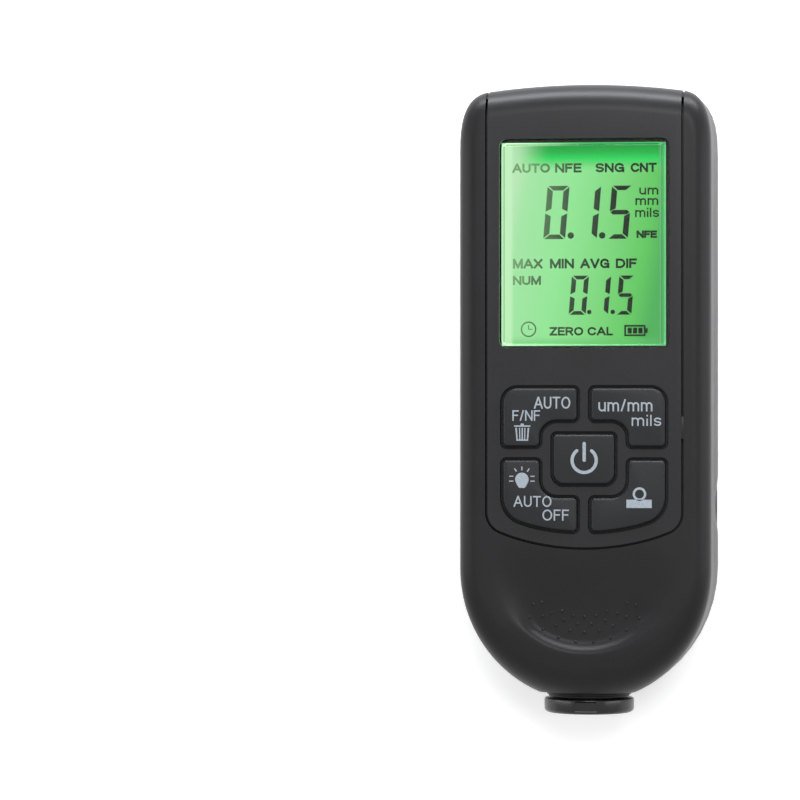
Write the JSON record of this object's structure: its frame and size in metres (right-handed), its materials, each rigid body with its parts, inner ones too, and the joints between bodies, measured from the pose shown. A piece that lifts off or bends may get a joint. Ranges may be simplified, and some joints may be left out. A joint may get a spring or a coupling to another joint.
{
  "type": "coating thickness gauge",
  "caption": "Hand-held coating thickness gauge: rounded case, lit display, key pad, thumb scoop, sprung contact probe in a ring at its end and a sliding battery cover.",
  "frame": {"origin": "under the middle of the gauge, on the surface that its back lies on", "axes": "+X across to the right when the display is read, +Y along the gauge towards the display end, +Z out of the face"},
  "size_m": [0.0488, 0.1204, 0.0274],
  "materials": {
    "case_plastic": "fine satin moulding",
    "panel_plastic": "satin",
    "clear_acrylic": "polished",
    "black_plastic": "matt",
    "lcd_green": "smooth, lit from behind",
    "white_diffuser": "satin",
    "lamp_epoxy": "clear coat",
    "strip_rubber": "matt",
    "key_plastic": "satin",
    "mat_silicone": "matt",
    "board_green": "solder mask",
    "ivory_nylon": "moulded",
    "steel": "machined",
    "nickel_plate": "plated spring strip",
    "cell_jacket": "printed sleeve over steel",
    "ring_plastic": "high gloss",
    "copper_wire": "enamelled copper winding",
    "lead_jacket": "satin jacket"
  },
  "bodies": {
    "case": {"front_housing": "case_plastic", "rear_housing": "case_plastic", "face_panel": "panel_plastic", "display_window": "clear_acrylic", "display_frame": "black_plastic", "lcd_glass": "lcd_green", "light_guide": "white_diffuser", "backlight_led_1": "lamp_epoxy", "backlight_led_2": "lamp_epoxy", "contact_strip": "strip_rubber", "key_mat": "mat_silicone", "circuit_board": "board_green", "board_screw_1": "steel", "board_screw_2": "steel", "microcontroller": "black_plastic", "buzzer": "black_plastic", "probe_socket": "ivory_nylon", "housing_screw_1": "steel", "housing_screw_2": "steel", "housing_screw_3": "steel", "housing_screw_4": "steel", "battery_1": "cell_jacket", "battery_2": "cell_jacket", "battery_positive_contact": "nickel_plate", "battery_negative_contact": "nickel_plate", "battery_bridge_contact": "nickel_plate", "probe_ring": "ring_plastic", "probe_spring": "steel", "probe_retainer": "ivory_nylon", "probe_lead": "lead_jacket"},
    "delete_key": {"key_delete": "key_plastic"},
    "units_key": {"key_units": "key_plastic"},
    "power_key": {"key_power": "key_plastic"},
    "light_key": {"key_light": "key_plastic"},
    "zero_key": {"key_zero": "key_plastic"},
    "probe_core": {"probe_pin": "steel", "probe_bobbin": "ivory_nylon", "probe_coil": "copper_wire"},
    "cover": {"battery_cover": "case_plastic"}
  },
  "joints": [
    {"name": "delete_key_press", "type": "slide", "parent": "case", "child": "delete_key", "axis": [0, 0, -1], "range_m": [0, 0.0009], "stiffness_N_per_m": 600, "deforming": ["key_mat"]},
    {"name": "units_key_press", "type": "slide", "parent": "case", "child": "units_key", "axis": [0, 0, -1], "range_m": [0, 0.0009], "stiffness_N_per_m": 600, "deforming": ["key_mat"]},
    {"name": "power_key_press", "type": "slide", "parent": "case", "child": "power_key", "axis": [0, 0, -1], "range_m": [0, 0.0009], "stiffness_N_per_m": 600, "deforming": ["key_mat"]},
    {"name": "light_key_press", "type": "slide", "parent": "case", "child": "light_key", "axis": [0, 0, -1], "range_m": [0, 0.0009], "stiffness_N_per_m": 600, "deforming": ["key_mat"]},
    {"name": "zero_key_press", "type": "slide", "parent": "case", "child": "zero_key", "axis": [0, 0, -1], "range_m": [0, 0.0009], "stiffness_N_per_m": 600, "deforming": ["key_mat"]},
    {"name": "probe_press", "type": "slide", "parent": "case", "child": "probe_core", "axis": [0, 1, 0], "range_m": [0, 0.0006], "stiffness_N_per_m": 800, "deforming": ["probe_spring"]},
    {"name": "cover_slide", "type": "slide", "parent": "case", "child": "cover", "axis": [0, -1, 0], "range_m": [0, 0.06]}
  ]
}
